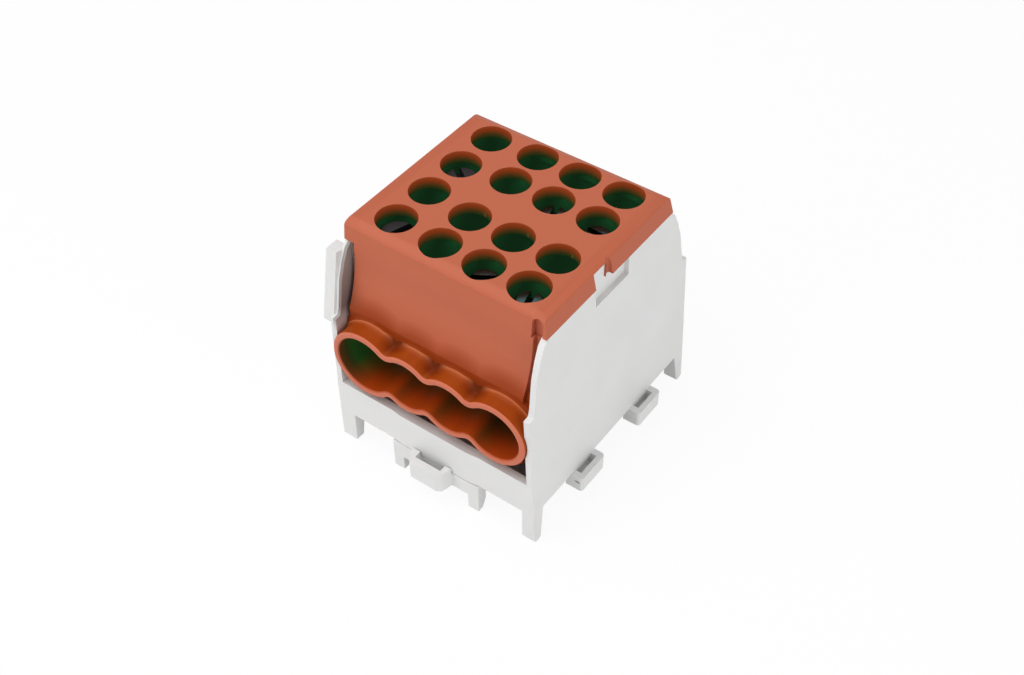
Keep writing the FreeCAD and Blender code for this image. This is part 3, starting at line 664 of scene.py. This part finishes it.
    def _tunnel_shade_colour(self, tree: ShaderTree, x: Socket, along: Socket) -> Socket:
        """Painted shade of the tunnels' inside, greener with depth and on the walls that face right.

        Args:
            tree: the material's tree.
            x: socket of the place across.
            along: socket of the distance from the middle, front to back.

        Returns:
            The colour's socket.
        """
        depth = tree.share(along, (self.rim_y, self.tunnel_end_y))
        floor = tree.ramp(depth, self.tunnel_floor_shade)
        plain = tree.ramp(depth, self.tunnel_wall_shade)
        green = tree.ramp(depth, self.tunnel_green_shade)
        rightwards = tree.axes(tree.add("ShaderNodeNewGeometry").outputs["Normal"])[0]
        wall = tree.blend(tree.maths("LESS_THAN", x, self.tunnel_green_x), plain, green)
        return tree.blend(tree.rise(rightwards, self.tunnel_facing), floor, wall)

    def paint(self, tree: ShaderTree, place: Socket) -> None:
        """Adds the brown plastic's nodes.

        Args:
            tree: the material's empty tree.
            place: socket of the Object coordinates.
        """
        x, y, z = tree.axes(place)
        along = tree.maths("ABSOLUTE", y)
        beyond = self._beyond_lobes(tree, place)
        colour = self._face_colour(tree, place, beyond)

        valley_share = tree.maths("DIVIDE", tree.off_nearest(x, self.valleys), self.valley_reach)
        valley = tree.fall(valley_share, self.valley_fade)
        on_collar = [
            tree.between(z, self.collar_z),
            tree.maths("LESS_THAN", beyond, tree.spread(valley, self.crest_margin, self.valley_margin)),
            tree.maths("GREATER_THAN", along, self.root_y),
        ]
        # Painted shade on the collar's outside, with its painted highlight at the crests' roots
        outside = self._collar_shade_colour(tree, place, valley, along)
        colour = tree.blend(tree.fold("MULTIPLY", on_collar), colour, outside)
        # Painted shade inside the tunnels
        in_tunnel = tree.maths("LESS_THAN", beyond, self.tunnel_margin)
        colour = tree.blend(in_tunnel, colour, self._tunnel_shade_colour(tree, x, along))

        depth = self._depth(tree, along, z)
        # Painted shade down the wells, with the ribs painted on as a lighter stripe
        well_shade = tree.blend(self._well_ribs(tree, x, y, depth), tree.ramp(depth, self.well_wall_shade), self.painted_lit_rib)
        in_well = self._inside_well(tree, x, along, z)
        colour = tree.blend(in_well, colour, well_shade)
        # Painted glow in the deepest part of the wells
        in_painted_glow = tree.maths("MULTIPLY", in_well, tree.maths("GREATER_THAN", depth, self.painted_glow_start))

        shader = tree.surface(place, colour, self.grain)
        shader.inputs["Specular IOR Level"].default_value = self.specular_level
        shader.inputs["Emission Color"].default_value = (*self.painted_glow, 1.0)
        tree.join(tree.maths("MULTIPLY", in_painted_glow, self.painted_glow_level), shader.inputs["Emission Strength"])


@dataclass(frozen=True)
class Metal(Finish):
    """Metal with patches of a second colour and a grain."""

    body: Colour
    patch: Colour
    patches: Noise
    grain: Grain
    metallic: float = 1.0

    def paint(self, tree: ShaderTree, place: Socket) -> None:
        """Adds the metal's nodes.

        Args:
            tree: the material's empty tree.
            place: socket of the Object coordinates.
        """
        colour = tree.blend(tree.noise(place, self.patches), self.body, self.patch)
        shader = tree.surface(place, colour, self.grain)
        shader.inputs["Metallic"].default_value = self.metallic


@dataclass(frozen=True)
class PlatedBlock(Metal):
    """Nickel plated block with milling marks along its faces."""

    body: Colour = linear(176, 178, 172)
    patch: Colour = linear(138, 140, 134)
    patches: Noise = Noise(160.0, 2.0)
    grain: Grain = Grain(
        Noise(1400.0, 3.0, (1.0, 0.06, 1.0)), smoothest=0.22, roughest=0.44, strength=0.3, depth=0.02 * MM
    )


@dataclass(frozen=True)
class ZincSteel(Metal):
    """Bright zinc plated steel with small smears of passivation, its colour darkened to a teal as painted
    shade of the wells the screws sit in.
    """

    # Painted shade: a dark teal in place of the bright zinc, for the shade of the wells
    body: Colour = linear(104, 132, 130)
    patch: Colour = linear(28, 50, 48)
    patches: Noise = Noise(420.0, 4.0)
    grain: Grain = Grain(Noise(3000.0, 2.0), smoothest=0.11, roughest=0.27, strength=0.15, depth=0.01 * MM)


@dataclass(frozen=True)
class DarkSteel(Metal):
    """Blackened steel, matte, with a thin oily variation."""

    body: Colour = linear(66, 62, 66)
    patch: Colour = linear(44, 44, 46)
    patches: Noise = Noise(380.0, 3.0)
    grain: Grain = Grain(Noise(3600.0, 2.0), smoothest=0.42, roughest=0.6, strength=0.2, depth=0.01 * MM)
    metallic: float = 0.55


class ScrewKind(Enum):
    """The two sizes of clamping screw."""

    MAIN = "main"
    BRANCH = "branch"


@dataclass
class EdgeSoftener:
    """Rounds the sharp edges of a piece and shades it smooth, by modifiers alone."""

    width: float = 0.14 * MM
    segments: int = 2
    weld_reach: float = 0.002 * MM
    flat_degrees: float = 0.6
    sharp_degrees: float = 38.0
    smooth_degrees: float = 42.0

    def _smooth_tree(self) -> bpy.types.NodeTree:
        """Geometry Nodes tree that shades smooth across all but the sharp edges.

        Returns:
            The tree, which is made once.
        """
        name = "smooth_by_angle"
        if name in bpy.data.node_groups:
            return bpy.data.node_groups[name]
        tree = bpy.data.node_groups.new(name, "GeometryNodeTree")
        tree.interface.new_socket("Geometry", in_out="INPUT", socket_type="NodeSocketGeometry")
        tree.interface.new_socket("Geometry", in_out="OUTPUT", socket_type="NodeSocketGeometry")
        start = tree.nodes.new("NodeGroupInput")
        end = tree.nodes.new("NodeGroupOutput")
        angle = tree.nodes.new("GeometryNodeInputMeshEdgeAngle")
        gentle = tree.nodes.new("FunctionNodeCompare")
        gentle.operation = "LESS_EQUAL"
        gentle.inputs["B"].default_value = math.radians(self.smooth_degrees)
        faces = tree.nodes.new("GeometryNodeSetShadeSmooth")
        faces.domain = "FACE"
        edges = tree.nodes.new("GeometryNodeSetShadeSmooth")
        edges.domain = "EDGE"
        tree.links.new(angle.outputs["Unsigned Angle"], gentle.inputs["A"])
        tree.links.new(start.outputs[0], faces.inputs["Geometry"])
        tree.links.new(faces.outputs[0], edges.inputs["Geometry"])
        tree.links.new(gentle.outputs[0], edges.inputs["Shade Smooth"])
        tree.links.new(edges.outputs[0], end.inputs[0])
        return tree

    def apply_to(self, node: bpy.types.Object) -> None:
        """Adds the modifiers to a piece.

        Args:
            node: the piece's object.
        """
        weld = node.modifiers.new("weld", "WELD")
        weld.merge_threshold = self.weld_reach
        flat = node.modifiers.new("flat_faces", "DECIMATE")
        flat.decimate_type = "DISSOLVE"
        flat.angle_limit = math.radians(self.flat_degrees)
        if self.width > 0:
            round_edges = node.modifiers.new("round_edges", "BEVEL")
            round_edges.width = self.width
            round_edges.segments = self.segments
            round_edges.limit_method = "ANGLE"
            round_edges.angle_limit = math.radians(self.sharp_degrees)
        smooth = node.modifiers.new("smooth_by_angle", "NODES")
        smooth.node_group = self._smooth_tree()
        weigh = node.modifiers.new("weigh_normals", "WEIGHTED_NORMAL")
        weigh.mode = "FACE_AREA"
        weigh.keep_sharp = True


def dress(node: bpy.types.Object, finish: Finish) -> None:
    """Gives every face of an object one finish.

    Args:
        node: the object to dress.
        finish: the finish to give.
    """
    node.data.materials.clear()
    node.data.materials.append(finish.material())


@dataclass
class CarriedPiece:
    """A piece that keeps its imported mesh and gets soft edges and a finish."""

    softener: EdgeSoftener
    node_name: str
    finish: Finish

    def build(self) -> list[bpy.types.Object]:
        """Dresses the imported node.

        Returns:
            The node, as the sub-assembly's only piece.
        """
        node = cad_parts[self.node_name]
        self.softener.apply_to(node)
        dress(node, self.finish)
        return [node]


@dataclass
class BaseHousing(CarriedPiece):
    """The light grey moulded base."""

    node_name: str = "base_housing"
    finish: Finish = GreyPlastic()


@dataclass
class RailLatch(CarriedPiece):
    """The sliding latch with its pull eye."""

    node_name: str = "rail_latch"
    finish: Finish = GreyPlastic()


@dataclass
class Cover(CarriedPiece):
    """The brown moulded cover."""

    node_name: str = "cover"
    finish: Finish = BrownPlastic()


@dataclass
class TerminalBlock(CarriedPiece):
    """The plated clamping block."""

    node_name: str = "terminal_block"
    finish: Finish = PlatedBlock()


@dataclass
class ThreadForm:
    """Sizes of one screw's thread and slot, in metres."""

    radius: float
    pitch: float
    depth: float = 0.42 * MM
    length: float = 12.0 * MM
    slot_width: float = 1.2 * MM
    slot_depth: float = 2.0 * MM
    point: float = 0.8 * MM
    top_edge: float = 0.4 * MM
    run_in: float = 0.25 * MM
    run_out: float = 0.9 * MM
    root_overlap: float = 0.03 * MM
    crest_trim: float = 0.01 * MM

    @property
    def core(self) -> float:
        """Radius at the bottom of the thread."""
        return self.radius - self.depth

    @property
    def turns(self) -> float:
        """Number of turns of the thread."""
        return (self.length - self.point - self.run_in - self.run_out) / self.pitch


@dataclass
class ClampingScrews:
    """Sixteen slotted screws with helical threads that stand in for the plain ones."""

    branch: ThreadForm
    main: ThreadForm
    steps_per_turn: int = 28
    ridge_sides: int = 4
    core_sides: int = 48
    row_turn: float = 37.0
    column_turn: float = 71.0

    def _thread_tree(self) -> bpy.types.NodeTree:
        """Geometry Nodes tree that sweeps a ridge along a helix and joins it to a core.

        Returns:
            The tree, with inputs Core Radius, Ridge, Pitch, Turns, Start, Steps and Finish.
        """
        tree = bpy.data.node_groups.new("helical_thread", "GeometryNodeTree")
        face = tree.interface
        face.new_socket("Geometry", in_out="INPUT", socket_type="NodeSocketGeometry")
        for name in ("Core Radius", "Ridge", "Pitch", "Turns", "Start"):
            face.new_socket(name, in_out="INPUT", socket_type="NodeSocketFloat")
        face.new_socket("Steps", in_out="INPUT", socket_type="NodeSocketInt")
        face.new_socket("Finish", in_out="INPUT", socket_type="NodeSocketMaterial")
        face.new_socket("Geometry", in_out="OUTPUT", socket_type="NodeSocketGeometry")
        link = tree.links.new
        given = tree.nodes.new("NodeGroupInput").outputs
        end = tree.nodes.new("NodeGroupOutput")

        rise = tree.nodes.new("ShaderNodeMath")
        rise.operation = "MULTIPLY"
        link(given["Pitch"], rise.inputs[0])
        link(given["Turns"], rise.inputs[1])

        helix = tree.nodes.new("GeometryNodeCurveSpiral")
        link(given["Steps"], helix.inputs["Resolution"])
        link(given["Turns"], helix.inputs["Rotations"])
        link(given["Core Radius"], helix.inputs["Start Radius"])
        link(given["Core Radius"], helix.inputs["End Radius"])
        link(rise.outputs[0], helix.inputs["Height"])

        lift = tree.nodes.new("ShaderNodeCombineXYZ")
        link(given["Start"], lift.inputs["Z"])
        placed = tree.nodes.new("GeometryNodeTransform")
        link(helix.outputs["Curve"], placed.inputs["Geometry"])
        link(lift.outputs[0], placed.inputs["Translation"])
        upright = tree.nodes.new("GeometryNodeSetCurveNormal")
        upright.mode = "Z_UP"
        link(placed.outputs[0], upright.inputs["Curve"])

        profile = tree.nodes.new("GeometryNodeCurvePrimitiveCircle")
        profile.inputs["Resolution"].default_value = self.ridge_sides
        link(given["Ridge"], profile.inputs["Radius"])
        sweep = tree.nodes.new("GeometryNodeCurveToMesh")
        link(upright.outputs[0], sweep.inputs["Curve"])
        link(profile.outputs["Curve"], sweep.inputs["Profile Curve"])
        sweep.inputs["Fill Caps"].default_value = True

        both = tree.nodes.new("GeometryNodeJoinGeometry")
        link(given["Geometry"], both.inputs[0])
        link(sweep.outputs[0], both.inputs[0])
        real = tree.nodes.new("GeometryNodeRealizeInstances")
        link(both.outputs[0], real.inputs[0])
        coat = tree.nodes.new("GeometryNodeSetMaterial")
        link(real.outputs[0], coat.inputs["Geometry"])
        link(given["Finish"], coat.inputs["Material"])
        link(coat.outputs[0], end.inputs[0])
        return tree

    def _core(self, form: ThreadForm) -> bpy.types.Mesh:
        """Turned core with a pointed end and a soft top edge.

        Args:
            form: the screw's sizes.

        Returns:
            The core's mesh, with its lower end at the origin.
        """
        mesh = bpy.data.meshes.new("core")
        shape = bmesh.new()
        outline = [
            (0.0, 0.0),
            (form.core - form.point, 0.0),
            (form.core, form.point),
            (form.core, form.length - form.top_edge),
            (form.core - form.top_edge, form.length),
            (0.0, form.length),
        ]
        previous = None
        for reach, height in outline:
            steps = self.core_sides if reach > 0.0 else 1
            ring = []
            for step in range(steps):
                angle = math.tau * step / self.core_sides
                ring.append(shape.verts.new((reach * math.cos(angle), reach * math.sin(angle), height)))
            if previous is not None:
                self._bridge(shape, previous, ring)
            previous = ring
        bmesh.ops.recalc_face_normals(shape, faces=shape.faces)
        shape.to_mesh(mesh)
        shape.free()
        return mesh

    def _bridge(
        self, shape: bmesh.types.BMesh, lower: list[bmesh.types.BMVert], upper: list[bmesh.types.BMVert]
    ) -> None:
        """Joins two rings, or a ring and a pole, with faces.

        Args:
            shape: the mesh under construction.
            lower: vertices of the lower ring.
            upper: vertices of the upper ring.
        """
        count = max(len(lower), len(upper))
        for step in range(count):
            following = (step + 1) % count
            if len(lower) == 1:
                shape.faces.new((lower[0], upper[following], upper[step]))
            elif len(upper) == 1:
                shape.faces.new((lower[step], lower[following], upper[0]))
            else:
                shape.faces.new((lower[step], lower[following], upper[following], upper[step]))

    def _template(self, kind: ScrewKind, finish: Finish, tree: bpy.types.NodeTree) -> bpy.types.Mesh:
        """Finished screw mesh that stands on the origin.

        Args:
            kind: which of the two sizes.
            finish: the screw's finish.
            tree: the thread's tree.

        Returns:
            The mesh.
        """
        form = self.main if kind is ScrewKind.MAIN else self.branch
        body = bpy.data.objects.new("screw_" + kind.value, self._core(form))
        bpy.context.scene.collection.objects.link(body)
        winding = body.modifiers.new("thread", "NODES")
        winding.node_group = tree
        values = {
            "Core Radius": form.core - form.root_overlap,
            "Ridge": form.depth - form.crest_trim,
            "Pitch": form.pitch,
            "Turns": form.turns,
            "Start": form.point + form.run_in,
            "Steps": self.steps_per_turn,
            "Finish": finish.material(),
        }
        for item in tree.interface.items_tree:
            if item.in_out == "INPUT" and item.name in values:
                winding[item.identifier] = values[item.name]
        slot = self._slot(form)
        cut = body.modifiers.new("slot", "BOOLEAN")
        cut.operation = "DIFFERENCE"
        cut.solver = "EXACT"
        cut.use_self = True
        cut.object = slot
        graph = bpy.context.evaluated_depsgraph_get()
        mesh = bpy.data.meshes.new_from_object(body.evaluated_get(graph), depsgraph=graph)
        bpy.data.objects.remove(body)
        bpy.data.objects.remove(slot)
        return mesh

    def _slot(self, form: ThreadForm) -> bpy.types.Object:
        """Bar that cuts the driver slot.

        Args:
            form: the screw's sizes.

        Returns:
            The bar's object.
        """
        mesh = bpy.data.meshes.new("slot_bar")
        shape = bmesh.new()
        size = Matrix.Diagonal((4 * form.radius, form.slot_width, 2 * form.slot_depth, 1.0))
        bmesh.ops.create_cube(shape, size=1.0, matrix=Matrix.Translation((0, 0, form.length)) @ size)
        shape.to_mesh(mesh)
        shape.free()
        bar = bpy.data.objects.new("slot_bar", mesh)
        bpy.context.scene.collection.objects.link(bar)
        return bar

    def _turn(self, name: str) -> float:
        """Angle at which a screw happens to stand, fixed by its row and column."""
        row = "abcd".index(name[-2])
        column = int(name[-1])
        return math.radians(self.row_turn * row + self.column_turn * column)

    def build(self) -> list[bpy.types.Object]:
        """Makes the sixteen screws where the frame has them.

        Returns:
            The screws.
        """
        tree = self._thread_tree()
        finishes = {ScrewKind.MAIN: DarkSteel(), ScrewKind.BRANCH: ZincSteel()}
        templates = {kind: self._template(kind, finish, tree) for kind, finish in finishes.items()}
        screws = []
        for name, node in sorted(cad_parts.items()):
            if not name.startswith("screw_"):
                continue
            low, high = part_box(name)
            kind = ScrewKind.MAIN if name.endswith("1") else ScrewKind.BRANCH
            mesh = templates[kind].copy()
            spot = Vector(((low.x + high.x) / 2, (low.y + high.y) / 2, low.z))
            mesh.transform(Matrix.Translation(spot) @ Matrix.Rotation(self._turn(name), 4, "Z"))
            screw = bpy.data.objects.new("threaded_" + name, mesh)
            bpy.context.scene.collection.objects.link(screw)
            dress(screw, finishes[kind])
            EdgeSoftener(width=0.0).apply_to(screw)
            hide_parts(name)
            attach(screw, "clamp_" + name[len("screw_"):])
            dress(node, finishes[kind])
            screws.append(screw)
        return screws


@dataclass(frozen=True)
class Softbox:
    """A soft square lamp: its name, its place, its side in metres and its power in watts."""

    name: str
    place: Point
    side: float
    power: float


@dataclass
class Studio:
    """Pale floor, soft lamps and the camera."""

    floor_z: float = -3.4 * MM
    floor_half: float = 3.0
    floor_grey: float = 0.93
    floor_white: float = 0.92
    world_level: float = 0.42
    lamp_target: Point = (0.0, 0.0, 0.025)
    lamps: tuple[Softbox, ...] = (
        Softbox("top_softbox", (-0.15, -0.12, 0.55), 0.5, 2.15),
        Softbox("front_softbox", (-0.25, -0.5, 0.2), 0.4, 0.88),
        Softbox("right_softbox", (0.5, -0.1, 0.2), 0.4, 1.1),
    )
    camera_target: Point = (18.921 * MM, -25.814 * MM, 46.96 * MM)
    camera_azimuth: float = 35.7113
    camera_elevation: float = 45.3412
    camera_distance: float = 222.047 * MM
    lens: float = 49.06
    sensor_width: float = 36.0
    clip_start: float = 0.01

    def _lamp(self, softbox: Softbox) -> None:
        """Hangs a lamp that faces the object.

        Args:
            softbox: the lamp.
        """
        data = bpy.data.lights.new(softbox.name, "AREA")
        data.size = softbox.side
        data.energy = softbox.power
        lamp = bpy.data.objects.new(softbox.name, data)
        lamp.location = softbox.place
        lamp.rotation_mode = "QUATERNION"
        lamp.rotation_quaternion = (Vector(self.lamp_target) - Vector(softbox.place)).to_track_quat("-Z", "Y")
        bpy.context.scene.collection.objects.link(lamp)

    def _floor(self) -> None:
        """Lays the pale floor under the legs, mostly plain white where it is seen directly."""
        mesh = bpy.data.meshes.new("studio_floor")
        shape = bmesh.new()
        bmesh.ops.create_grid(shape, x_segments=1, y_segments=1, size=self.floor_half)
        bmesh.ops.translate(shape, verts=shape.verts, vec=(0, 0, self.floor_z))
        shape.to_mesh(mesh)
        shape.free()
        floor = bpy.data.objects.new("studio_floor", mesh)
        bpy.context.scene.collection.objects.link(floor)
        tree = ShaderTree("studio_floor")
        matte = tree.add("ShaderNodeBsdfDiffuse")
        matte.inputs["Color"].default_value = (self.floor_grey, self.floor_grey, self.floor_grey, 1.0)
        white = tree.add("ShaderNodeEmission")
        mixed = tree.add("ShaderNodeMixShader")
        tree.join(tree.maths("MULTIPLY", tree.seen_directly(), self.floor_white), mixed.inputs[0])
        tree.join(matte.outputs[0], mixed.inputs[1])
        tree.join(white.outputs[0], mixed.inputs[2])
        tree.join(mixed.outputs[0], tree.output.inputs["Surface"])
        mesh.materials.append(tree.owner)

    def _world(self) -> None:
        """White surround that lights softly and shows plain white where it is seen directly."""
        tree = ShaderTree("studio_world", world=True)
        bpy.context.scene.world = tree.owner
        back = tree.add("ShaderNodeBackground")
        tree.join(tree.spread(tree.seen_directly(), self.world_level, 1.0), back.inputs["Strength"])
        tree.join(back.outputs[0], tree.output.inputs["Surface"])

    def _camera(self) -> None:
        """Puts the camera where the photograph was taken from."""
        azimuth, elevation = math.radians(self.camera_azimuth), math.radians(self.camera_elevation)
        back = Vector((
            math.sin(azimuth) * math.cos(elevation),
            -math.cos(azimuth) * math.cos(elevation),
            math.sin(elevation),
        ))
        data = bpy.data.cameras.new("studio_camera")
        data.lens = self.lens
        data.sensor_width = self.sensor_width
        data.clip_start = self.clip_start
        camera = bpy.data.objects.new("studio_camera", data)
        camera.location = Vector(self.camera_target) + back * self.camera_distance
        camera.rotation_mode = "QUATERNION"
        camera.rotation_quaternion = (-back).to_track_quat("-Z", "Y")
        bpy.context.scene.collection.objects.link(camera)
        bpy.context.scene.camera = camera

    def build(self) -> None:
        """Sets up everything round the object."""
        bpy.context.scene.view_settings.view_transform = "Standard"
        self._world()
        self._floor()
        for softbox in self.lamps:
            self._lamp(softbox)
        self._camera()


def report(name: str, made: list[bpy.types.Object]) -> None:
    """Logs how many pieces a sub-assembly has.

    Args:
        name: the sub-assembly's name.
        made: its pieces.
    """
    LOG.info("%s: %d piece(s)", name, len(made))


def main() -> None:
    """Builds the sub-assemblies in order, then the studio."""
    logging.basicConfig(level=logging.INFO, format="%(name)s %(message)s")
    soft = EdgeSoftener()
    plain = EdgeSoftener(width=0.0)
    branch = ThreadForm(radius=3.0 * MM, pitch=1.0 * MM)
    large = ThreadForm(radius=3.8 * MM, pitch=1.25 * MM, depth=0.5 * MM, slot_width=1.4 * MM)
    report("base housing", BaseHousing(soft).build())
    report("rail latch", RailLatch(soft).build())
    report("cover", Cover(soft).build())
    report("terminal block", TerminalBlock(plain).build())
    report("clamping screws", ClampingScrews(branch, large).build())
    Studio().build()
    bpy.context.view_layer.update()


if __name__ == "__main__":
    main()
